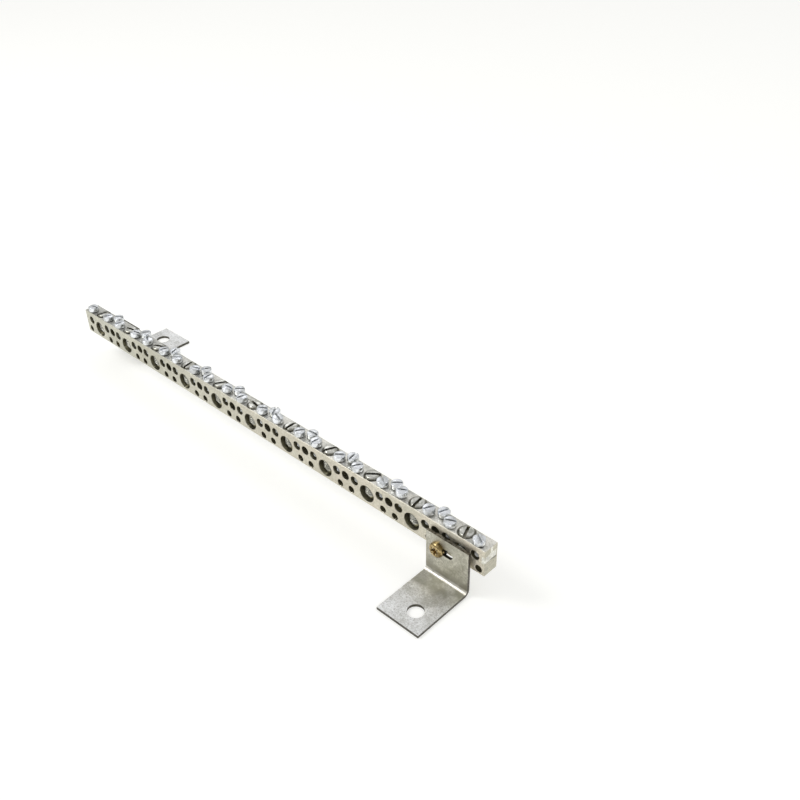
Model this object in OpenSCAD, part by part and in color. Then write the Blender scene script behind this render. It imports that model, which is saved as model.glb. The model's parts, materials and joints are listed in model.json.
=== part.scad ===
// Earth terminal bar: a drilled metal bar on two folded feet, with a clamping
// screw over every conductor hole. Millimetres, +Z up, +X along the bar.
// Origin: centre of the overall footprint, on the surface the feet stand on. The
// bar is drawn about Y 0 and the whole is moved at the end.

/* [Bar] */
// Number of main (large) conductor holes
way_count = 11; // [2:1:13]
// Distance between neighbouring main holes
way_pitch = 30; // [28:0.5:40]
// Width of the bar, front face to back face
bar_w = 9; // [9:0.2:14]
// Height of the bar, bottom face to top face
bar_h = 15.2; // [14.2:0.2:20]
// Metal left between the last fixing hole and the end of the bar
end_wall = 1.4; // [0.6:0.1:6]
// Chamfer on the bar's long edges
bar_edge = 0.25; // [0.1:0.05:0.5]
// Height of the bar's bottom face above the surface
bar_lift = 15.6; // [13:0.2:30]

/* [Conductor holes] */
// Diameter of a main conductor hole
main_hole_d = 9.6; // [8.2:0.1:10.4]
// Metal left under a main hole
main_hole_floor = 1.5; // [0.4:0.1:2]
// Diameter of a branch (small) conductor hole
branch_hole_d = 5.1; // [4.2:0.1:5.6]
// Metal left above a branch hole
branch_hole_roof = 2.95; // [2:0.05:4]
// Distance between the three branch holes of one group
branch_pitch = 6.4; // [6.2:0.1:7.5]

/* [Fixing holes] */
// Thread of the holes that take the bracket screws
fixing_thread_d = 4; // [3:0.5:4]
// Metal left under a fixing hole
fixing_hole_floor = 0.8; // [0.4:0.05:1.5]
// Distance between the two fixing holes of one group
fixing_pitch = 8; // [6:0.1:12]

/* [Main screws] */
// Thread of a main clamping screw
main_thread_d = 8; // [6:1:8]
// Height of a fully driven screw's top above the top of the bar
main_screw_rise = 0.8; // [0:0.1:2]
// Gap between the tip of a fully driven screw and the floor of its hole
main_tip_gap = 0.8; // [0.3:0.1:3]
// Width of the driving slot
main_slot_w = 1.5; // [1:0.1:2]
// Depth of the driving slot
main_slot_depth = 2; // [1:0.1:3]

/* [Branch screws] */
// Thread of a branch clamping screw
branch_thread_d = 4; // [3:0.5:4]
// Diameter of the screw's cheese head
branch_head_d = 6.1; // [5:0.1:6.1]
// Height of the head
branch_head_h = 2.9; // [2:0.1:4]
// Distance of each row of screws from the bar's centre line
branch_row_offset = 1.7; // [1.2:0.1:2]
// Gap between the tip of a fully driven screw and the floor of its hole
branch_tip_gap = 0.4; // [0.2:0.1:1]
// Width of the driving slot
branch_slot_w = 1; // [0.6:0.1:1.4]
// Depth of the driving slot
branch_slot_depth = 1.4; // [0.8:0.1:1.8]

/* [Brackets] */
// Width of a bracket
bracket_w = 25.5; // [20:0.5:40]
// Height of a bracket's plate above the surface
bracket_h = 26.2; // [24:0.2:40]
// Length of a bracket's foot from the outer face of the plate
foot_length = 34; // [20:0.5:60]
// Thickness of the sheet
sheet_t = 1.6; // [1:0.1:3]
// Inside radius of the bend
bend_r = 1.8; // [0.5:0.1:4]
// Diameter of the hole in the foot
foot_hole_d = 8.4; // [5:0.1:12]
// Distance of that hole from the end of the foot
foot_hole_inset = 10.2; // [7:0.1:20]
// Distance of that hole from the side of the bracket that carries the slot
foot_hole_side = 15; // [8:0.1:18]
// Distance of the slot's first round centre from that side
slot_start = 5.9; // [4:0.1:8]
// Travel of a screw along the slot
slot_travel = 8.2; // [4:0.1:12]

/* [Bracket screws] */
// Diameter of the pan head
fixing_head_d = 8; // [6:0.1:9]
// Height of the pan head
fixing_head_h = 2.5; // [1.8:0.1:3]
// Thickness of the washer between the bar and the right bracket
right_spacer_t = 1.1; // [0.8:0.1:3]
// Thickness of the washer between the bar and the left bracket
left_spacer_t = 3; // [0.8:0.1:3]
// Outside diameter of either washer
spacer_d = 9; // [8:0.1:12]
// Where the right screw stands in its slot, from the slot's first centre
right_slot_place = 1.3; // [0:0.1:8]
// Where the left screw stands in its slot, from the slot's first centre
left_slot_place = 0; // [0:0.1:8]

/* [Hidden] */
$fn = 48;
// Play between a screw and its thread, on the radius
thread_play = 0.05;
// Play between a screw and a plain hole, on the radius
plain_play = 0.2;
// How far a cut runs past the face that it opens
past = 1;
// Clearance between the side of a screw's tip and the round wall of its hole
tip_side_gap = 0.12;
// Lead-in chamfer at the mouth of a tapped hole in the top
mouth = 0.2;
// Chamfer round each hole in the bar's long faces
hole_rim = 0.15;
// How far the end of a bracket screw stands past the far face of the bar
fixing_tip_show = 0.1;
// Points on the curve of a pan head
dome_steps = 8;

// Places along the bar, from the centre of the bar
first_main_x = -(way_count - 1) * way_pitch / 2;
function main_x(way) = first_main_x + (way - 1) * way_pitch;
fixing_offset = (way_pitch - fixing_pitch) / 2;
bar_end = main_x(way_count) + fixing_offset + fixing_thread_d / 2 + end_wall;

// Every branch hole as [x, row], row -1 in front and 1 behind: three between
// neighbouring main holes, the middle one behind, and one outside each end
branch_offset = way_pitch / 2 - branch_pitch;
branches = concat(
    [[main_x(1) - branch_offset, -1]],
    [for (way = [1 : way_count - 1], slot = [-1 : 1])
        [main_x(way) + way_pitch / 2 + slot * branch_pitch, slot == 0 ? 1 : -1]],
    [[main_x(way_count) + branch_offset, -1]]
);
branch_count = len(branches);

// Every fixing hole: two between neighbouring main holes, one outside each end
fixings = concat(
    [main_x(1) - fixing_offset],
    [for (way = [1 : way_count - 1], side = [-1, 1])
        main_x(way) + way_pitch / 2 + side * fixing_pitch / 2],
    [main_x(way_count) + fixing_offset]
);

// Heights above the surface
bar_top = bar_lift + bar_h;
main_z = bar_lift + main_hole_floor + main_hole_d / 2;
branch_z = bar_top - branch_hole_roof - branch_hole_d / 2;
fixing_z = bar_lift + fixing_hole_floor + fixing_thread_d / 2;

// Screw lengths that follow the bar
main_screw_l = bar_h + main_screw_rise - main_hole_floor - main_tip_gap;
branch_screw_l = bar_top - branch_z + branch_hole_d / 2 - branch_tip_gap;
fixing_screw_l = sheet_t + right_spacer_t + bar_w + fixing_tip_show;

// How far a bracket's foot reaches out from the bar's centre plane
function reach(spacer_t) = bar_w / 2 + spacer_t + sheet_t + foot_length;
slot_w = fixing_thread_d + 2 * plain_play;

// The bracket screws use the second fixing hole of the first group and of the last
left_fixing_x = fixings[2];
right_fixing_x = fixings[len(fixings) - 2];

// Turn of each slot about the screw's axis, taken in turn along the bar
main_turns = [75, 10, 25, 100, 60, -10, 90, 64, 40, 98, 112];
branch_turns = [20, 65, 35, 80, 15, 50, -30, 70, 110, 40, 25, 60, 95, 10, 45, 75,
                30, 120, -20, 55, 5, 85, 40, 100, 60, -38, 42, 31, 63, 67, 27, -32];
// How far each main screw is backed out, taken in turn along the bar
main_raises = [0.3, 0.5, 0.4, 0.2, 0.6, 0.3, 0.5, 0.4, 0.4, 0.1, 0.1];
// How far each branch screw is backed out, taken in turn along the bar
branch_raises = [0.6, 0.3, 0.5, 0.2, 0.4, 1.2, 0.3, 0.5, 0.9, 0.2, 0.4, 0.7, 0.3, 1, 0.5, 0.2,
                 0.6, 0.3, 0.8, 0.4, 0.2, 0.5, 0.3, 0.9, 0.4, 0.5, 0.3, 1.7, 0.8, 0.3, 0.5, 0.2];
function in_turn(list, count) = list[(count - 1) % len(list)];

function two_digits(count) = str(count < 10 ? "0" : "", count);
function main_node(way) = str("main_screw_", two_digits(way));
function branch_node(count) = str("branch_screw_", two_digits(count));

// A hole along Y, right through the bar, with a chamfer at each face
module through_bar(x, z, d) {
    translate([x, bar_w / 2 + past, z])
        rotate([90, 0, 0])
            cylinder(d = d, h = bar_w + 2 * past);
    for (side = [-1, 1])
        translate([x, side * (bar_w / 2 - hole_rim), z])
            rotate([-side * 90, 0, 0])
                cylinder(d1 = d, d2 = d + 2 * (hole_rim + past), h = hole_rim + past);
}

// A tapped hole from the top of the bar down to a conductor hole
module tapped_from_top(x, y, d, bottom) {
    translate([x, y, bottom])
        cylinder(d = d, h = bar_top - bottom + past);
    translate([x, y, bar_top - mouth])
        cylinder(d1 = d, d2 = d + 4 * mouth, h = 2 * mouth);
}

// The bar's cross-section, a rectangle with its corners taken off
module bar_section() {
    w = bar_w / 2;
    e = bar_edge;
    polygon([[-w + e, 0], [w - e, 0], [w, e], [w, bar_h - e],
             [w - e, bar_h], [-w + e, bar_h], [-w, bar_h - e], [-w, e]]);
}

module terminal_bar() {
    color([0.80, 0.78, 0.71])
        difference() {
            translate([-bar_end, 0, bar_lift])
                rotate([90, 0, 90])
                    linear_extrude(2 * bar_end) bar_section();
            for (way = [1 : way_count]) {
                through_bar(main_x(way), main_z, main_hole_d);
                tapped_from_top(main_x(way), 0, main_thread_d, main_z);
            }
            for (branch = branches) {
                through_bar(branch[0], branch_z, branch_hole_d);
                tapped_from_top(branch[0], branch[1] * branch_row_offset, branch_thread_d, branch_z);
            }
            for (x = fixings) through_bar(x, fixing_z, fixing_thread_d);
        }
}

// The cone, as [how far in, how far up], that lets the tip of a screw stand this
// gap above the floor of a round hole that crosses it
function tip_cone(screw_d, hole_d, gap) =
    let (r = screw_d / 2, hole_r = hole_d / 2, below_axis = hole_r - gap)
    [r - sqrt(pow(hole_r, 2) - pow(below_axis, 2)) + tip_side_gap,
     below_axis - sqrt(max(0, pow(hole_r, 2) - pow(r, 2))) + tip_side_gap];

// A round screw body with a chamfer at its top, at Z 0, and a cone at its tip
module screw_body(d, length, top_chamfer, tip) {
    r = d / 2;
    rotate_extrude()
        polygon([[0, 0], [r - top_chamfer, 0], [r, -top_chamfer],
                 [r, -length + tip[1]], [r - tip[0], -length], [0, -length]]);
}

// The cut for a straight driving slot, open above Z 0
module driving_slot(d, width, depth) {
    translate([-d / 2 - past, -width / 2, -depth])
        cube([d + 2 * past, width, depth + past]);
}

// A headless clamping screw over a main hole
module main_screw(way) {
    d = main_thread_d - 2 * thread_play;
    color([0.66, 0.67, 0.66])
        translate([main_x(way), 0, bar_top + main_screw_rise + in_turn(main_raises, way)])
            rotate(in_turn(main_turns, way))
                difference() {
                    screw_body(d, main_screw_l, d / 13, tip_cone(d, main_hole_d, main_tip_gap));
                    driving_slot(d, main_slot_w, main_slot_depth);
                }
}

// A cheese-head clamping screw over a branch hole
module branch_screw(count) {
    branch = branches[count - 1];
    d = branch_thread_d - 2 * thread_play;
    color([0.84, 0.85, 0.88])
        translate([branch[0], branch[1] * branch_row_offset, bar_top + in_turn(branch_raises, count)])
            rotate(in_turn(branch_turns, count))
                difference() {
                    union() {
                        translate([0, 0, branch_head_h])
                            screw_body(branch_head_d, branch_head_h, branch_head_d / 20,
                                       [branch_head_d / 40, branch_head_d / 40]);
                        translate([0, 0, branch_head_h / 2])
                            screw_body(d, branch_screw_l + branch_head_h / 2, d / 20,
                                       tip_cone(d, branch_hole_d, branch_tip_gap));
                    }
                    translate([0, 0, branch_head_h])
                        driving_slot(branch_head_d, branch_slot_w, branch_slot_depth);
                }
}

// Half of a bracket's folded section, plate up along Y and foot out along X
module bracket_section() {
    outer_r = bend_r + sheet_t;
    translate([0, outer_r]) square([sheet_t, bracket_h - outer_r]);
    translate([outer_r, 0]) square([sheet_t + foot_length - outer_r, sheet_t]);
    intersection() {
        translate([outer_r, outer_r])
            difference() {
                circle(r = outer_r);
                circle(r = bend_r);
            }
        square([outer_r, outer_r]);
    }
}

// A folded bracket with its slotted side at X 0 and its foot towards the front,
// held off the bar by a washer of this thickness
module bracket(spacer_t) {
    plate_in = bar_w / 2 + spacer_t;
    plate_out = plate_in + sheet_t;
    color([0.62, 0.62, 0.59])
        difference() {
            translate([0, -plate_in, 0])
                rotate([90, 0, -90])
                    translate([0, 0, -bracket_w])
                        linear_extrude(bracket_w) bracket_section();
            translate([foot_hole_side, -reach(spacer_t) + foot_hole_inset, -past])
                cylinder(d = foot_hole_d, h = sheet_t + 2 * past);
            for (travel = [0, slot_travel])
                translate([slot_start + travel, -plate_out - past, fixing_z])
                    rotate([-90, 0, 0])
                        cylinder(d = slot_w, h = sheet_t + 2 * past);
            translate([slot_start, -plate_out - past, fixing_z - slot_w / 2])
                cube([slot_travel, sheet_t + 2 * past, slot_w]);
        }
}

// The plain washer that holds a bracket off the bar
module bracket_spacer(spacer_t) {
    color([0.70, 0.70, 0.68])
        translate([0, -bar_w / 2, fixing_z])
            rotate([90, 0, 0])
                difference() {
                    cylinder(d = spacer_d, h = spacer_t);
                    translate([0, 0, -past])
                        cylinder(d = slot_w, h = spacer_t + 2 * past);
                }
}

// The domed side of a pan head, from its rim to its crown
function pan_side(r, h) = [for (step = [0 : dome_steps])
    let (a = 90 * step / dome_steps)
    [r - (1 - cos(a)) * r * 0.42, h * 0.45 + sin(a) * h * 0.55]];

// A cross-recess pan-head screw that holds a bracket, head to the front
module bracket_screw(spacer_t) {
    d = fixing_thread_d - 2 * thread_play;
    recess = fixing_head_d * 0.52;
    color([0.72, 0.62, 0.38])
        translate([0, -bar_w / 2 - spacer_t - sheet_t, fixing_z])
            rotate([90, 0, 0])
                difference() {
                    union() {
                        rotate_extrude()
                            polygon(concat([[0, 0], [fixing_head_d / 2, 0]],
                                           pan_side(fixing_head_d / 2, fixing_head_h),
                                           [[0, fixing_head_h]]));
                        translate([0, 0, fixing_head_h / 4])
                            screw_body(d, fixing_screw_l + fixing_head_h / 4, d / 20,
                                       [d / 10, d / 10]);
                    }
                    for (turn = [0, 90])
                        rotate(turn)
                            translate([-recess / 2, -recess / 9, fixing_head_h * 0.3])
                                cube([recess, recess / 4.5, fixing_head_h]);
                    translate([0, 0, fixing_head_h * 0.3])
                        cylinder(d1 = recess * 0.4, d2 = recess * 0.66, h = fixing_head_h * 0.7 + 0.01);
                    for (turn = [45, 135])
                        rotate(turn)
                            translate([-fixing_head_d * 0.36, -0.12, fixing_head_h - 0.2])
                                cube([fixing_head_d * 0.72, 0.24, past]);
                }
}

// Places what is drawn for the front at the right-hand end of the bar
module at_right(x) translate([x, 0, 0]) children();
// Turns it to the back, at the left-hand end
module at_left(x) translate([x, 0, 0]) rotate(180) children();

translate([0, (reach(right_spacer_t) - reach(left_spacer_t)) / 2, 0]) {
    terminal_bar();
    at_left(left_fixing_x + slot_start + left_slot_place) bracket(left_spacer_t);  // bracket_left
    at_left(left_fixing_x) bracket_spacer(left_spacer_t);  // bracket_spacer_left
    at_left(left_fixing_x) bracket_screw(left_spacer_t);  // bracket_screw_left
    at_right(right_fixing_x - slot_start - right_slot_place) bracket(right_spacer_t);  // bracket_right
    at_right(right_fixing_x) bracket_spacer(right_spacer_t);  // bracket_spacer_right
    at_right(right_fixing_x) bracket_screw(right_spacer_t);  // bracket_screw_right
    for (way = [1 : way_count])
        main_screw(way);
    for (count = [1 : branch_count])
        branch_screw(count);
}
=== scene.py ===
"""Looks of the earth terminal bar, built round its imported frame. All lengths are in metres."""

import json
import math

import bmesh
import bpy
from mathutils import Matrix, Vector, noise


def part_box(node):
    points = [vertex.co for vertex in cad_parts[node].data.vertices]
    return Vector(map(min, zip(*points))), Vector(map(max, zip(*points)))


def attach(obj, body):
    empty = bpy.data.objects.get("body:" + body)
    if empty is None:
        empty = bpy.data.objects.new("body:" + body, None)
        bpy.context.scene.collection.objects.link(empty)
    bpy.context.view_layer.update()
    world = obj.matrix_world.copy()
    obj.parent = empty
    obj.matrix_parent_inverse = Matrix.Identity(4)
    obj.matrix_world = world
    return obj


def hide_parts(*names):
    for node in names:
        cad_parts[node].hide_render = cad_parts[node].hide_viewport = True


MM = 0.001

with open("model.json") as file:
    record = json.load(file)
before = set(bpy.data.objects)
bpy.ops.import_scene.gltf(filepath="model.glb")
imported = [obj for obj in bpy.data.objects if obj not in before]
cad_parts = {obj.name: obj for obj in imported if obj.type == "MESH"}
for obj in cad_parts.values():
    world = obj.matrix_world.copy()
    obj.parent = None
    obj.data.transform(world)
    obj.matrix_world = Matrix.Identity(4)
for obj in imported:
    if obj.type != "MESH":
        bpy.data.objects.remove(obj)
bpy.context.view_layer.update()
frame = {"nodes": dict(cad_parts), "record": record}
nodes = frame["nodes"]
slot_of = {part["node"]: part["material_slot"] for part in frame["record"]["subparts"]}
bar_low, bar_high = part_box("terminal_bar")
bar_middle_y = (bar_low.y + bar_high.y) / 2


def middle(node):
    """The middle of a node's box."""
    low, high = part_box(node)
    return (low + high) / 2


def placed(name, data):
    """A new object, put into the scene."""
    made = bpy.data.objects.new(name, data)
    bpy.context.scene.collection.objects.link(made)
    return made


def finished_mesh(built, name):
    """The mesh of what was built, which is then let go."""
    mesh = bpy.data.meshes.new(name)
    built.to_mesh(mesh)
    built.free()
    return mesh


# ---------------------------------------------------------------- node trees


class Tree:
    """A node tree, with one short call for each kind of node that goes into it."""

    def __init__(self, tree):
        self.tree = tree

    def connect(self, value, socket):
        if isinstance(value, bpy.types.NodeSocket):
            self.tree.links.new(value, socket)
        elif value is not None:
            socket.default_value = value

    def add(self, kind, inputs=None, **settings):
        made = self.tree.nodes.new(kind)
        for name, value in settings.items():
            setattr(made, name, value)
        for key, value in (inputs or {}).items():
            self.connect(value, made.inputs[key])
        return made

    def number(self, kind, *values, clamp=False):
        given = dict(enumerate(values))
        return self.add("ShaderNodeMath", given, operation=kind, use_clamp=clamp).outputs[0]

    def length(self, first, second):
        """How long a flat vector is."""
        squares = self.number("ADD", self.number("POWER", first, 2.0), self.number("POWER", second, 2.0))
        return self.number("SQRT", squares)

    def split(self, vector):
        return self.add("ShaderNodeSeparateXYZ", {0: vector}).outputs

    def span(self, value, low, high, to_low=0.0, to_high=1.0):
        inputs = {"Value": value, "From Min": low, "From Max": high, "To Min": to_low, "To Max": to_high}
        return self.add("ShaderNodeMapRange", inputs, interpolation_type="SMOOTHSTEP").outputs[0]


class Finish(Tree):
    """A procedural finish on the piece's own coordinates."""

    def __init__(self, name, **even):
        self.material = bpy.data.materials.new(name)
        self.material.use_nodes = True
        super().__init__(self.material.node_tree)
        self.shader = self.tree.nodes["Principled BSDF"]
        for socket, value in even.items():
            self.shader.inputs[socket.replace("_", " ").title()].default_value = value
        self.place = self.add("ShaderNodeTexCoord").outputs["Object"]
        self.face = self.add("ShaderNodeNewGeometry").outputs["Normal"]

    def link(self, value, socket):
        self.tree.links.new(value, self.shader.inputs[socket])

    def stretched(self, scale, vector=None):
        return self.add("ShaderNodeMapping", {"Vector": vector or self.place, "Scale": scale}).outputs[0]

    def noise(self, scale, detail=3.0, roughness=0.55, vector=None, distortion=0.0):
        inputs = {
            "Vector": vector or self.place,
            "Scale": scale,
            "Detail": detail,
            "Roughness": roughness,
            "Distortion": distortion,
        }
        return self.add("ShaderNodeTexNoise", inputs).outputs["Fac"]

    def cells(self, scale, vector=None, feature="F1", output="Distance"):
        inputs = {"Vector": vector or self.place, "Scale": scale}
        return self.add("ShaderNodeTexVoronoi", inputs, feature=feature).outputs[output]

    def blend(self, share, first, second, kind="MIX"):
        made = self.add("ShaderNodeMix", data_type="RGBA", blend_type=kind)
        for key, value in ((0, share), (6, first), (7, second)):
            self.connect((*value, 1) if isinstance(value, tuple) else value, made.inputs[key])
        return made.outputs[2]

    def relief(self, *layers):
        """Bumps laid on each other, each as (height, strength, distance)."""
        normal = None
        for height, strength, distance in layers:
            inputs = {"Height": height, "Strength": strength, "Distance": distance, "Normal": normal}
            normal = self.add("ShaderNodeBump", inputs).outputs[0]
        self.link(normal, "Normal")

    def both(self, *masks):
        whole = masks[0]
        for mask in masks[1:]:
            whole = self.number("MULTIPLY", whole, mask)
        return whole


# ---------------------------------------------------------------- finishes

MAIN_PITCH = middle("main_screw_02").x - middle("main_screw_01").x


def tinned_bar():
    """Thin dull tin over brass: drawn lines along the bar and spots, with painted light on the top face,
    painted shade in the bores and a ring of painted shade and dirt round each main screw.
    """
    f = Finish("tinned_bar", metallic=0.85)
    x, y, z = f.split(f.place)[:3]
    normal_x, _, normal_z = f.split(f.face)[:3]
    clouds = f.noise(95, 4)
    patches = f.noise(28, 3)
    specks = f.noise(1700, 2)
    drawn = f.noise(1, 3, vector=f.stretched((60, 2600, 2600)))
    to_right = f.span(x, bar_low.x, bar_high.x)
    colour = f.blend(to_right, (0.545, 0.54, 0.46), (0.72, 0.66, 0.55))
    colour = f.blend(f.span(clouds, 0.42, 0.66, 0, 0.6), colour, (0.74, 0.72, 0.61))
    colour = f.blend(f.span(patches, 0.48, 0.66, 0, 0.4), colour, (0.44, 0.425, 0.34))
    # Painted light: the top face is given a lighter, greyer tone than the front, as lit from above, with
    # darker cloudy patches in it.
    on_top = f.span(normal_z, 0.6, 0.95)
    lit_top_colour = f.blend(to_right, (0.62, 0.62, 0.59), (0.86, 0.84, 0.78))
    lit_top_colour = f.blend(f.span(clouds, 0.36, 0.6), (0.47, 0.47, 0.44), lit_top_colour)
    colour = f.blend(on_top, colour, lit_top_colour)
    grain = f.noise(1050, 3, 0.7)
    colour = f.blend(f.span(grain, 0.52, 0.36, 0, 0.42), colour, (0.40, 0.385, 0.30))
    colour = f.blend(f.span(grain, 0.56, 0.70, 0, 0.40), colour, (0.93, 0.91, 0.82))
    colour = f.blend(f.span(specks, 0.58, 0.72, 0, 0.5), colour, (0.36, 0.34, 0.26))
    depth = f.number("ABSOLUTE", f.number("SUBTRACT", y, bar_middle_y))
    half = (bar_high.y - bar_low.y) / 2
    across = f.number("PINGPONG", x, MAIN_PITCH / 2)
    from_screw = f.length(across, depth)
    # Painted shade with some dirt: a near-black ring on the top face round the mouth of each main screw,
    # where the crevice lies in shade.
    grime_and_shade = f.both(f.span(from_screw, 4.8 * MM, 4.3 * MM), on_top, f.span(clouds, 0.3, 0.5, 0.6, 0.95))
    colour = f.blend(grime_and_shade, colour, (0.10, 0.097, 0.075))
    # Painted shade: the walls inside the holes, short of the faces and the ends, are darkened to a deep
    # olive.
    inside = f.span(depth, half - 0.15 * MM, half - 0.6 * MM)
    below = f.span(z, bar_high.z - 0.05 * MM, bar_high.z - 0.2 * MM)
    above = f.span(z, bar_low.z + 0.05 * MM, bar_low.z + 0.2 * MM)
    short_of_end = f.span(f.number("ABSOLUTE", x), bar_high.x - 0.05 * MM, bar_high.x - 0.2 * MM)
    colour = f.blend(f.both(inside, below, above, short_of_end), colour, (0.25, 0.235, 0.16))
    sawn = f.span(f.number("ABSOLUTE", normal_x), 0.9, 0.98)
    saw_marks = f.noise(1, 2, vector=f.stretched((1, 260, 3600)))
    end_colour = f.blend(f.span(saw_marks, 0.35, 0.65), (0.46, 0.44, 0.35), (0.66, 0.63, 0.52))
    end_colour = f.blend(f.span(f.noise(420, 3), 0.5, 0.7, 0, 0.8), end_colour, (0.34, 0.33, 0.26))
    at_end = f.both(sawn, f.span(f.number("ABSOLUTE", x), bar_high.x - 0.2 * MM, bar_high.x - 0.05 * MM))
    colour = f.blend(at_end, colour, end_colour)
    f.link(colour, "Base Color")
    rough = f.span(clouds, 0.3, 0.7, 0.34, 0.46)
    rough = f.number("ADD", rough, f.span(on_top, 0, 1, 0, -0.06))
    f.link(f.number("ADD", rough, f.span(drawn, 0.3, 0.7, -0.05, 0.05)), "Roughness")
    f.relief(
        (drawn, 0.25, 0.02 * MM),
        (clouds, 0.35, 0.12 * MM),
        (specks, 0.35, 0.03 * MM),
        (f.both(saw_marks, at_end), 0.7, 0.05 * MM),
    )
    return f.material


def zinc_sheet():
    """Galvanised sheet: soft spangle and cloudy stains, zinc paler towards the foot's end and darker by the
    bend, painted shade on the upright and in a band above the bend, a painted highlight on the bend, and cut
    edges darkened partly as bare steel and partly as painted shade.
    """
    f = Finish("zinc_sheet", metallic=0.9)
    _, y, z = f.split(f.place)[:3]
    normal_x, normal_y, normal_z = f.split(f.face)[:3]
    clouds = f.noise(75, 5, 0.6, distortion=0.6)
    fine_clouds = f.noise(300, 4)
    grain = f.noise(1150, 3, 0.7)
    spangle = f.split(f.cells(520, output="Color"))[0]
    specks = f.noise(1900, 2)
    out = f.number("ABSOLUTE", y)
    # The zinc clouds, made paler towards the outer end of the foot.
    clouds_paler_outward = f.number("ADD", clouds, f.span(out, 16 * MM, 36 * MM, -0.06, 0.16))
    colour = f.blend(f.span(clouds_paler_outward, 0.38, 0.66), (0.50, 0.50, 0.455), (0.94, 0.95, 0.95))
    colour = f.blend(f.span(fine_clouds, 0.38, 0.62, 0, 0.45), colour, (0.60, 0.60, 0.575))
    colour = f.blend(f.number("MULTIPLY", spangle, 0.25), colour, (0.90, 0.91, 0.92))
    colour = f.blend(f.span(grain, 0.53, 0.36, 0, 0.55), colour, (0.40, 0.39, 0.36))
    colour = f.blend(f.span(grain, 0.56, 0.70, 0, 0.45), colour, (0.96, 0.97, 0.98))
    colour = f.blend(f.span(specks, 0.56, 0.72, 0, 0.55), colour, (0.30, 0.29, 0.26))
    # The foot next to the bend and the bottom of the bend are darkened in cloudy patches.
    upright = f.span(z, 5.5 * MM, 2.5 * MM)
    near_bend_darkening = f.both(f.span(out, 21 * MM, 15.5 * MM), upright, f.span(f.noise(120, 3), 0.40, 0.6, 0.25, 0.85))
    colour = f.blend(near_bend_darkening, colour, (0.33, 0.325, 0.27))
    # Painted shade: the upright sheet is made darker and warmer than the foot, as a face turned away from
    # the light above.
    plate = f.both(f.span(f.number("ABSOLUTE", normal_y), 0.7, 0.9), f.span(z, 3.0 * MM, 4.0 * MM))
    colour = f.blend(plate, colour, (0.80, 0.775, 0.69), "MULTIPLY")
    # Painted shade: a darker band across the upright sheet just above the bend.
    band = f.both(plate, f.span(z, 8.5 * MM, 5.5 * MM), f.span(f.noise(160, 2), 0.35, 0.6, 0.35, 0.9))
    colour = f.blend(band, colour, (0.33, 0.315, 0.26))
    # Painted highlight: the bend is lightened to a pale cream in cloudy patches.
    bend = f.span(f.number("MULTIPLY", f.number("ABSOLUTE", normal_y), normal_z), 0.04, 0.30)
    colour = f.blend(f.both(bend, f.span(f.noise(260, 3), 0.3, 0.6, 0.3, 0.85)), colour, (0.90, 0.87, 0.79))
    # Cut edges and the walls of the slot and holes go near-black: partly the bare cut steel, partly painted
    # shade in the slot and holes.
    foot_cut = f.both(f.span(f.number("ABSOLUTE", normal_z), 0.5, 0.3), f.span(z, 1.7 * MM, 1.55 * MM))
    plate_cut = f.both(f.span(f.number("ABSOLUTE", normal_y), 0.5, 0.3), f.span(z, 3.3 * MM, 3.5 * MM))
    side_cut = f.span(f.number("ABSOLUTE", normal_x), 0.85, 0.97)
    cut_and_shaded = f.number("MAXIMUM", f.number("MAXIMUM", foot_cut, plate_cut), side_cut)
    streaks = f.noise(1, 3, vector=f.stretched((900, 900, 2500)))
    cut_and_shade_colour = f.blend(f.span(streaks, 0.35, 0.65), (0.05, 0.046, 0.035), (0.17, 0.16, 0.135))
    colour = f.blend(cut_and_shaded, colour, cut_and_shade_colour)
    f.link(colour, "Base Color")
    f.link(f.span(clouds, 0.3, 0.7, 0.50, 0.34), "Roughness")
    f.relief((clouds, 0.25, 0.2 * MM), (fine_clouds, 0.3, 0.06 * MM), (specks, 0.4, 0.03 * MM))
    return f.material


RING_STEP = 0.28 * MM


def plated(name, bright, dull, roughness, grime_and_shade=(0.20, 0.19, 0.15), head=None):
    """Plated steel: cloudy bright and dull zinc with dark specks, and on a slotted screw turning rings too,
    with painted shade and dirt in the slot and on the rim, and painted shade on the shank.
    """
    f = Finish(name, metallic=1.0)
    clouds = f.noise(330, 3)
    specks = f.noise(2600, 2)
    shade = f.blend(f.span(clouds, 0.38, 0.62), dull, bright)
    shade = f.blend(f.span(specks, 0.62, 0.76, 0, 0.3), shade, grime_and_shade)
    layers = [(clouds, 0.1, 0.04 * MM), (specks, 0.12, 0.01 * MM)]
    if head:
        own = f.add("ShaderNodeAttribute", attribute_name="own_place").outputs["Vector"]
        own_x, own_y, own_z = f.split(own)[:3]
        radius = f.length(own_x, own_y)
        rings = f.number("SINE", f.number("MULTIPLY", radius, 2 * math.pi / RING_STEP))
        layers.append((rings, 0.18, 0.012 * MM))
        edge = head["radius"]
        # Painted shade with dirt: the slot's walls and floor and the head's rim are darkened, and the shank
        # below the head is darkened as painted shade, each by its share in the head table.
        in_slot = f.both(
            f.span(own_z, -0.18 * MM, -0.4 * MM), f.span(radius, edge - 0.1 * MM, edge - 0.4 * MM)
        )
        at_rim = f.both(f.span(radius, edge, edge + 0.2 * MM), f.span(own_z, -1.7 * MM, -1.3 * MM))
        below = f.span(own_z, -head["shank_from"], -head["shank_to"])
        for mask, share in (
            (in_slot, head["slot_shade_and_grime"]),
            (at_rim, head["rim_shade_and_grime"]),
            (below, head["shank_shade"]),
        ):
            shade = f.blend(f.number("MULTIPLY", mask, share), shade, grime_and_shade)
    f.link(shade, "Base Color")
    f.link(f.span(clouds, 0.3, 0.7, roughness[1], roughness[0]), "Roughness")
    f.relief(*layers)
    return f.material


BRANCH_HEAD = 2.9 * MM
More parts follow.
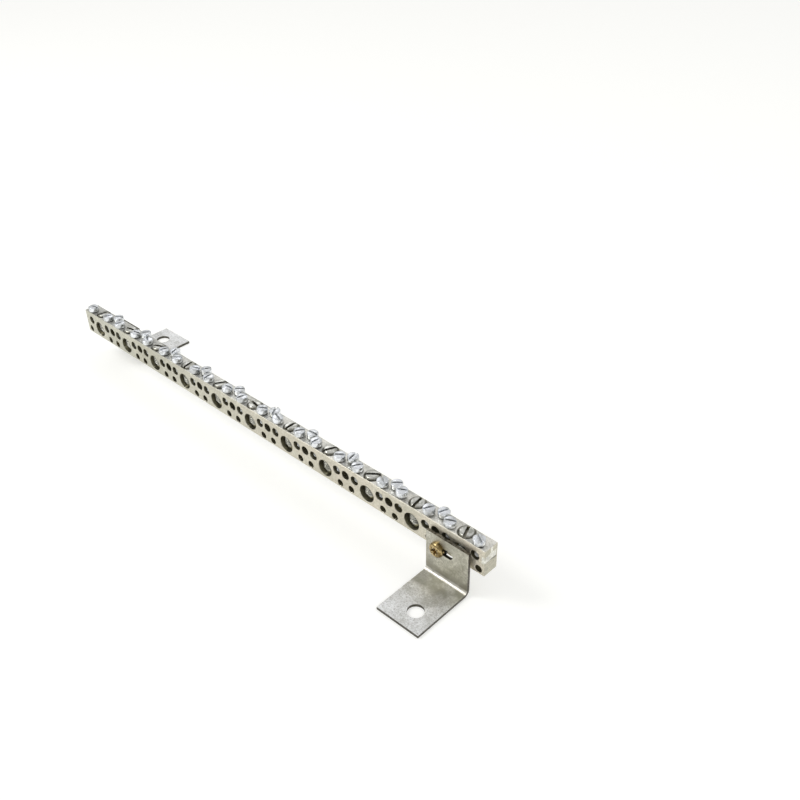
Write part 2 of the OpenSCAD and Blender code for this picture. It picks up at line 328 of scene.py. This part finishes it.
# How much painted shade and dirt darken the slot, the rim and the shank of each kind of screw.
MAIN_GRIME_AND_SHADE = {
    "radius": 3.35 * MM,
    "slot_shade_and_grime": 0.85,
    "rim_shade_and_grime": 0.85,
    "shank_from": 1.3 * MM,
    "shank_to": 1.7 * MM,
    "shank_shade": 0.4,
}
BRANCH_GRIME_AND_SHADE = {
    "radius": 2.9 * MM,
    "slot_shade_and_grime": 0.2,
    "rim_shade_and_grime": 0.0,
    "shank_from": 2.2 * MM,
    "shank_to": 3.2 * MM,
    "shank_shade": 0.3,
}
FINISH_OF = {
    "bar": tinned_bar(),
    "bracket": zinc_sheet(),
    "spacer": plated("washer_zinc", (0.66, 0.66, 0.65), (0.46, 0.46, 0.44), (0.3, 0.42)),
    "bracket_screw": plated(
        "yellow_zinc", (0.58, 0.45, 0.23), (0.26, 0.185, 0.075), (0.18, 0.3), grime_and_shade=(0.16, 0.10, 0.03)
    ),
    "main_screw": plated(
        "worn_zinc", (0.70, 0.70, 0.66), (0.42, 0.42, 0.38), (0.24, 0.4), head=MAIN_GRIME_AND_SHADE
    ),
    "branch_screw": plated(
        "bright_zinc", (0.88, 0.905, 0.945), (0.60, 0.615, 0.62), (0.24, 0.36), head=BRANCH_GRIME_AND_SHADE
    ),
}


# ---------------------------------------------------------------- pieces


def keep(piece, slot, *replaced):
    """Gives a finished piece its finish and its place in the frame."""
    if not piece.data.materials:
        piece.data.materials.append(FINISH_OF[slot])
    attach(piece, "root")
    if replaced:
        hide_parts(*replaced)


def soften(mesh, sharp_over):
    """Smooth shading, with the edges over this angle kept sharp."""
    mesh.polygons.foreach_set("use_smooth", [True] * len(mesh.polygons))
    mesh.set_sharp_from_angle(angle=math.radians(sharp_over))


def merged_copy(node, name, sharp_over=32):
    """A copy of a node with its loose triangles joined, so that round walls shade smoothly."""
    built = bmesh.new()
    built.from_mesh(nodes[node].data)
    bmesh.ops.remove_doubles(built, verts=built.verts, dist=0.0005 * MM)
    flat = [edge for edge in built.edges if len(edge.link_faces) == 2 and edge.calc_face_angle(1) < 0.0005]
    bmesh.ops.dissolve_limit(
        built, angle_limit=0.0005, verts=built.verts, edges=flat, use_dissolve_boundaries=False
    )
    mesh = finished_mesh(built, name)
    soften(mesh, sharp_over)
    keep(placed(name, mesh), slot_of[node], node)


for node, name in (
    ("terminal_bar", "bar_body"),
    ("bracket_right", "bracket_sheet_right"),
    ("bracket_left", "bracket_sheet_left"),
    ("bracket_spacer_right", "washer_right"),
    ("bracket_spacer_left", "washer_left"),
    ("bracket_screw_right", "pan_head_screw_right"),
    ("bracket_screw_left", "pan_head_screw_left"),
):
    merged_copy(node, name)


SLOT_CUT_LENGTH = 20 * MM
EDGE_WEAR = 0.07 * MM


def turned_blank(name, profile, slot_width, slot_depth, sides=48):
    """A body turned from (radius, height) pairs, with a driving slot cut across its top."""
    built = bmesh.new()
    rings = []
    for radius, height in profile:
        if radius == 0:
            rings.append([built.verts.new((0, 0, height))])
        else:
            rings.append(
                [
                    built.verts.new((radius * math.cos(a), radius * math.sin(a), height))
                    for a in (2 * math.pi * side / sides for side in range(sides))
                ]
            )
    for upper, lower in zip(rings, rings[1:]):
        for side in range(sides):
            after = (side + 1) % sides
            corners = [upper[side % len(upper)], lower[side % len(lower)]]
            corners += [lower[after % len(lower)]] if len(lower) > 1 else []
            corners += [upper[after % len(upper)]] if len(upper) > 1 else []
            built.faces.new(corners)
    bmesh.ops.recalc_face_normals(built, faces=built.faces)
    blank = placed(name, finished_mesh(built, name))

    built = bmesh.new()
    size = Matrix.Diagonal((SLOT_CUT_LENGTH, slot_width, 2 * slot_depth, 1))
    bmesh.ops.create_cube(built, size=1, matrix=size)
    cutter = placed(name + "_cutter", finished_mesh(built, name + "_cutter"))
    cut = blank.modifiers.new("slot", "BOOLEAN")
    cut.object = cutter
    cut.operation = "DIFFERENCE"
    cut.solver = "EXACT"
    rounding = blank.modifiers.new("worn_edges", "BEVEL")
    rounding.width = EDGE_WEAR
    rounding.segments = 2
    rounding.limit_method = "ANGLE"
    rounding.angle_limit = math.radians(50)
    bpy.context.view_layer.update()
    finished = bpy.data.meshes.new_from_object(blank.evaluated_get(bpy.context.evaluated_depsgraph_get()))
    bpy.data.objects.remove(cutter)
    bpy.data.objects.remove(blank)
    soften(finished, 35)
    return placed(name, finished)


def arc(centre, radius, start, end, steps):
    """Points on a rounded corner of a profile, from one angle to another in degrees."""
    turns = [math.radians(start + (end - start) * step / steps) for step in range(steps + 1)]
    return [(centre[0] + radius * math.cos(a), centre[1] + radius * math.sin(a)) for a in turns]


def screw_set_tree():
    """Threads a blank and sets it at every point, turned by the point's own angle."""
    group = bpy.data.node_groups.new("threaded_screws", "GeometryNodeTree")
    sockets = {}
    for name, kind in (
        ("Geometry", "NodeSocketGeometry"),
        ("Blank", "NodeSocketObject"),
        ("Thread radius", "NodeSocketFloat"),
        ("Thread depth", "NodeSocketFloat"),
        ("Thread turns", "NodeSocketFloat"),
        ("Thread bottom", "NodeSocketFloat"),
        ("Thread length", "NodeSocketFloat"),
        ("Steps per turn", "NodeSocketInt"),
        ("Finish", "NodeSocketMaterial"),
    ):
        sockets[name] = group.interface.new_socket(name, in_out="INPUT", socket_type=kind).identifier
    group.interface.new_socket("Geometry", in_out="OUTPUT", socket_type="NodeSocketGeometry")
    t = Tree(group)
    given = t.add("NodeGroupInput").outputs
    spiral = t.add(
        "GeometryNodeCurveSpiral",
        {
            "Resolution": given["Steps per turn"],
            "Rotations": given["Thread turns"],
            "Start Radius": given["Thread radius"],
            "End Radius": given["Thread radius"],
            "Height": given["Thread length"],
        },
    )
    upright = t.add("GeometryNodeSetCurveNormal", {"Curve": spiral.outputs[0]}, mode="Z_UP")
    ridge = t.add("GeometryNodeCurvePrimitiveCircle", {"Resolution": 4, "Radius": given["Thread depth"]})
    thread = t.add(
        "GeometryNodeCurveToMesh",
        {"Curve": upright.outputs[0], "Profile Curve": ridge.outputs[0], "Fill Caps": True},
    )
    bottom = t.add("ShaderNodeCombineXYZ", {"Z": given["Thread bottom"]})
    lowered = t.add(
        "GeometryNodeTransform", {"Geometry": thread.outputs[0], "Translation": bottom.outputs[0]}
    )
    blank = t.add("GeometryNodeObjectInfo", {"Object": given["Blank"]}).outputs["Geometry"]
    whole = t.add("GeometryNodeJoinGeometry")
    t.connect(lowered.outputs[0], whole.inputs[0])
    t.connect(blank, whole.inputs[0])
    position = t.add("GeometryNodeInputPosition").outputs[0]
    marked = t.add(
        "GeometryNodeStoreNamedAttribute",
        {"Geometry": whole.outputs[0], "Name": "own_place", "Value": position},
        data_type="FLOAT_VECTOR",
        domain="POINT",
    )
    turn = t.add("GeometryNodeInputNamedAttribute", {"Name": "turn"}, data_type="FLOAT").outputs["Attribute"]
    rotation = t.add("ShaderNodeCombineXYZ", {"Z": turn}).outputs[0]
    points = t.add("GeometryNodeMeshToPoints", {"Mesh": given["Geometry"]})
    standing = t.add(
        "GeometryNodeInstanceOnPoints",
        {"Points": points.outputs[0], "Instance": marked.outputs[0], "Rotation": rotation},
    )
    real = t.add("GeometryNodeRealizeInstances", {"Geometry": standing.outputs[0]})
    done = t.add("GeometryNodeSetMaterial", {"Geometry": real.outputs[0], "Material": given["Finish"]})
    t.add("NodeGroupOutput", {0: done.outputs[0]})
    return group, sockets


screw_tree, screw_sockets = screw_set_tree()


def screw_set(name, slot, prefix, turns, blank, **sizes):
    """Every screw of one kind, standing where its node stands."""
    stands = sorted(node for node in nodes if node.startswith(prefix))
    mesh = bpy.data.meshes.new(name + "_stands")
    tops = [(middle(node).x, middle(node).y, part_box(node)[1].z) for node in stands]
    mesh.from_pydata(tops, [], [])
    angle = mesh.attributes.new("turn", "FLOAT", "POINT")
    for point, turn in enumerate(turns):
        angle.data[point].value = math.radians(turn)
    maker = placed(name + "_maker", mesh)
    modifier = maker.modifiers.new("screws", "NODES")
    modifier.node_group = screw_tree
    values = {"Blank": blank, "Finish": FINISH_OF[slot]}
    values.update({key.replace("_", " ").capitalize(): value for key, value in sizes.items()})
    for key, value in values.items():
        modifier[screw_sockets[key]] = value
    bpy.context.view_layer.update()
    finished = bpy.data.meshes.new_from_object(maker.evaluated_get(bpy.context.evaluated_depsgraph_get()))
    finished.name = name
    for spare in (maker, blank):
        bpy.data.objects.remove(spare)
    keep(placed(name, finished), slot, *stands)


MAIN_TURNS = (75, 10, 25, 100, 60, -10, 90, 64, 40, 98, 112)
BRANCH_TURNS = (
    (20, 65, 35, 80, 15, 50, -30, 70, 110, 40, 25, 60, 95, 10, 45, 75)
    + (30, 120, -20, 55, 5, 85, 40, 100, 60, -38, 42, 31, 63, 67, 27, -32)
)

main_low, main_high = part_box("main_screw_01")
main_length = main_high.z - main_low.z
main_profile = (
    [(0, 0.02 * MM), (1.6 * MM, 0.01 * MM), (2.9 * MM, -0.03 * MM)]
    + arc((3.05 * MM, -0.35 * MM), 0.3 * MM, 80, 45, 3)
    + [(3.78 * MM, -0.62 * MM), (3.9 * MM, -0.78 * MM), (3.9 * MM, -1.05 * MM), (3.5 * MM, -1.3 * MM)]
    + [(3.5 * MM, -main_length + 2.4 * MM), (2.7 * MM, -main_length + 0.1 * MM)]
    + [(2.5 * MM, -main_length), (0, -main_length)]
)
screw_set(
    "main_screws",
    "main_screw",
    "main_screw_",
    MAIN_TURNS,
    turned_blank("main_blank", main_profile, 1.5 * MM, 2 * MM),
    thread_radius=3.58 * MM,
    thread_depth=0.36 * MM,
    thread_turns=(main_length - 4.2 * MM) / (1.25 * MM),
    thread_bottom=-main_length + 2.5 * MM,
    thread_length=main_length - 4.2 * MM,
    steps_per_turn=36,
)

branch_low, branch_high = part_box("branch_screw_02")
branch_length = branch_high.z - branch_low.z
branch_profile = (
    [(0, 0), (1.2 * MM, -0.02 * MM), (2.1 * MM, -0.07 * MM), (2.6 * MM, -0.13 * MM)]
    + arc((2.7 * MM, -0.5 * MM), 0.35 * MM, 80, 0, 5)
    + [(3.05 * MM, -BRANCH_HEAD + 0.2 * MM), (2.98 * MM, -BRANCH_HEAD + 0.06 * MM)]
    + [(2.85 * MM, -BRANCH_HEAD)]
    + [(1.95 * MM, -BRANCH_HEAD), (1.6 * MM, -BRANCH_HEAD - 0.5 * MM)]
    + [(1.6 * MM, -branch_length + 0.6 * MM), (1.2 * MM, -branch_length), (0, -branch_length)]
)
screw_set(
    "branch_screws",
    "branch_screw",
    "branch_screw_",
    BRANCH_TURNS,
    turned_blank("branch_blank", branch_profile, 1 * MM, 1.4 * MM),
    thread_radius=1.68 * MM,
    thread_depth=0.27 * MM,
    thread_turns=(branch_length - BRANCH_HEAD - 1.3 * MM) / (0.7 * MM),
    thread_bottom=-branch_length + 0.7 * MM,
    thread_length=branch_length - BRANCH_HEAD - 1.3 * MM,
    steps_per_turn=20,
)


# Where the burr lies: from the front face, round the corner and over the end, and from below to above
BURR_ALONG = (-1.9 * MM, 8.3 * MM)
BURR_UP = (bar_high.z - 7.8 * MM, bar_high.z - 0.02 * MM)
BURR_COLUMNS, BURR_ROWS = 44, 30
BURR_CORNER = 0.5 * MM
BURR_ROOT = 0.3 * MM
BURR_STAND = 1.15 * MM


def burr_height(along, z):
    """How far the torn metal stands off the bar there."""
    drop = bar_high.z - z
    coarse = noise.noise(Vector((along * 900, z * 900, 3.1)))
    fine = noise.noise(Vector((along * 2600, z * 2600, 7)))
    ragged = 0.5 * coarse + 0.3 * fine
    centre = 5.4 * MM - 0.6 * MM * ragged - 0.06 * (along - 4 * MM)
    band = 1 - abs(drop - centre) / (1.9 * MM + 0.7 * MM * ragged)
    band *= min(1, (along - BURR_ALONG[0]) / (1.2 * MM)) * min(1, (BURR_ALONG[1] - along) / (1.0 * MM))
    spur = 1 - abs(along - 4.9 * MM - 0.5 * MM * ragged) / (0.75 * MM)
    spur *= 1 if 0.0 < drop < 5 * MM else 0
    return (0.75 + 0.5 * ragged) * max(band, 0.75 * spur, -0.05) * BURR_STAND


def round_end(along, z, out):
    """A point held off the front face, the rounded corner or the end of the bar."""
    if along < -BURR_CORNER:
        return Vector((bar_high.x + along, bar_low.y - out, z))
    if along > BURR_CORNER:
        return Vector((bar_high.x + out, bar_low.y + along, z))
    turn = (along + BURR_CORNER) / (2 * BURR_CORNER) * math.pi / 2
    reach = BURR_CORNER + out
    x = bar_high.x - BURR_CORNER + reach * math.sin(turn)
    return Vector((x, bar_low.y + BURR_CORNER - reach * math.cos(turn), z))


def spread(ends, steps):
    """Evenly spaced values from one end to the other."""
    return [ends[0] + (ends[1] - ends[0]) * step / steps for step in range(steps + 1)]


def cut_burr():
    """The torn lip that the saw left across the right end of the bar."""
    built = bmesh.new()

    def sheet(stand_off):
        return [
            [built.verts.new(round_end(along, z, stand_off(along, z))) for z in spread(BURR_UP, BURR_ROWS)]
            for along in spread(BURR_ALONG, BURR_COLUMNS)
        ]

    outer = sheet(lambda along, z: max(-0.12 * MM, burr_height(along, z)))
    inner = sheet(lambda along, z: -BURR_ROOT)
    for column in range(BURR_COLUMNS):
        for row in range(BURR_ROWS):
            for side in (outer, inner):
                near, far = side[column], side[column + 1]
                built.faces.new((near[row], far[row], far[row + 1], near[row + 1]))
        for row in (0, BURR_ROWS):
            built.faces.new(
                (outer[column][row], outer[column + 1][row], inner[column + 1][row], inner[column][row])
            )
    for row in range(BURR_ROWS):
        for column in (0, BURR_COLUMNS):
            top, under = outer[column], inner[column]
            built.faces.new((top[row], top[row + 1], under[row + 1], under[row]))
    bmesh.ops.recalc_face_normals(built, faces=built.faces)
    mesh = finished_mesh(built, "cut_burr")
    soften(mesh, 60)
    f = Finish("torn_metal", metallic=0.75)
    mottle = f.noise(1300, 3)
    f.link(f.blend(f.span(mottle, 0.35, 0.6), (0.80, 0.79, 0.68), (0.98, 0.975, 0.91)), "Base Color")
    f.link(f.span(mottle, 0.3, 0.7, 0.5, 0.36), "Roughness")
    f.relief((mottle, 0.3, 0.05 * MM))
    mesh.materials.append(f.material)
    keep(placed("cut_burr", mesh), "bar")


cut_burr()


# ---------------------------------------------------------------- studio

CAMERA_PLACE = Vector((341.3, -246.45, 320.2)) * MM
CAMERA_AZIMUTH, CAMERA_ELEVATION, CAMERA_ROLL = (math.radians(angle) for angle in (43.38, 34.83, -0.733))
ahead = Vector(
    (
        -math.sin(CAMERA_AZIMUTH) * math.cos(CAMERA_ELEVATION),
        math.cos(CAMERA_AZIMUTH) * math.cos(CAMERA_ELEVATION),
        -math.sin(CAMERA_ELEVATION),
    )
)
camera = placed("camera", bpy.data.cameras.new("camera"))
camera.data.lens = 41.47
camera.data.sensor_width = 36
camera.data.clip_start = 0.01
camera.location = CAMERA_PLACE
camera.rotation_mode = "QUATERNION"
camera.rotation_quaternion = (
    ahead.to_track_quat("-Z", "Y") @ Matrix.Rotation(CAMERA_ROLL, 3, "Z").to_quaternion()
)
bpy.context.scene.camera = camera


def lamp(name, place, target, size, power, colour=(1, 1, 1)):
    data = bpy.data.lights.new(name, "AREA")
    data.shape = "DISK"
    data.size = size
    data.energy = power
    data.color = colour
    made = placed(name, data)
    made.location = place
    made.rotation_mode = "QUATERNION"
    made.rotation_quaternion = (Vector(target) - Vector(place)).to_track_quat("-Z", "Y")


lamp("key_lamp", (-0.62, -0.55, 0.95), (0.05, 0, 0), 0.5, 5.2, (1.0, 0.995, 0.98))
lamp("side_lamp", (0.55, 0.6, 1.1), (0.1, 0, 0), 0.5, 1.6, (0.97, 0.985, 1.0))


FLOOR_REACH = 4.0
FLOOR_GLOW = 0.5


def pale_floor():
    """A matt floor that keeps the shadows, and glows only for the camera and in what mirrors it."""
    f = Finish("pale_floor", roughness=0.9)
    f.shader.inputs["Base Color"].default_value = (0.60, 0.60, 0.585, 1)
    f.shader.inputs["Specular IOR Level"].default_value = 0.1
    path = f.add("ShaderNodeLightPath").outputs
    seen = f.number("ADD", path["Is Camera Ray"], path["Is Glossy Ray"])
    seen = f.number("ADD", seen, path["Is Transmission Ray"], clamp=True)
    strength = f.number("MULTIPLY", seen, FLOOR_GLOW)
    glow = f.add("ShaderNodeEmission", {"Color": (1, 1, 0.975, 1), "Strength": strength})
    both = f.add("ShaderNodeAddShader", {0: f.shader.outputs[0], 1: glow.outputs[0]})
    f.tree.links.new(both.outputs[0], f.tree.nodes["Material Output"].inputs["Surface"])
    return f.material


corners = [(x * FLOOR_REACH, y * FLOOR_REACH, 0) for x, y in ((-1, -1), (1, -1), (1, 1), (-1, 1))]
floor_mesh = bpy.data.meshes.new("floor")
floor_mesh.from_pydata(corners, [], [(0, 1, 2, 3)])
floor_mesh.materials.append(pale_floor())
placed("floor", floor_mesh)

WINDOW = Vector((-0.66, 0.485, 0.575)).normalized()
WINDOW_EDGE, WINDOW_CORE = (math.cos(math.radians(angle)) for angle in (9, 2.5))
WINDOW_LIGHT = 1.3


def studio_sky():
    """A pale room with one window: brighter overhead, duller low down, white where the camera sees it."""
    world = bpy.data.worlds.new("studio")
    bpy.context.scene.world = world
    world.use_nodes = True
    t = Tree(world.node_tree)
    way = t.add("ShaderNodeTexCoord").outputs["Generated"]
    height = t.split(way)[2]
    level = t.span(height, -0.1, 0.75, 0.40, 0.80)
    room = t.add("ShaderNodeTexNoise", {"Vector": way, "Scale": 2.1, "Detail": 1.0}).outputs["Fac"]
    level = t.number("MULTIPLY", level, t.span(room, 0.36, 0.62, 0.62, 1.08))
    towards = t.add("ShaderNodeVectorMath", {0: way, 1: WINDOW}, operation="DOT_PRODUCT").outputs["Value"]
    pane = t.span(towards, WINDOW_EDGE, WINDOW_CORE, 0, WINDOW_LIGHT)
    level = t.number("ADD", level, pane)
    seen = t.add("ShaderNodeLightPath").outputs["Is Camera Ray"]
    shown = t.add("ShaderNodeMix", {0: seen, 2: level, 3: 1.0}, data_type="FLOAT").outputs[0]
    background = world.node_tree.nodes["Background"]
    t.connect(shown, background.inputs["Strength"])
    background.inputs["Color"].default_value = (1, 1, 1, 1)


studio_sky()
bpy.context.scene.view_settings.view_transform = "Standard"
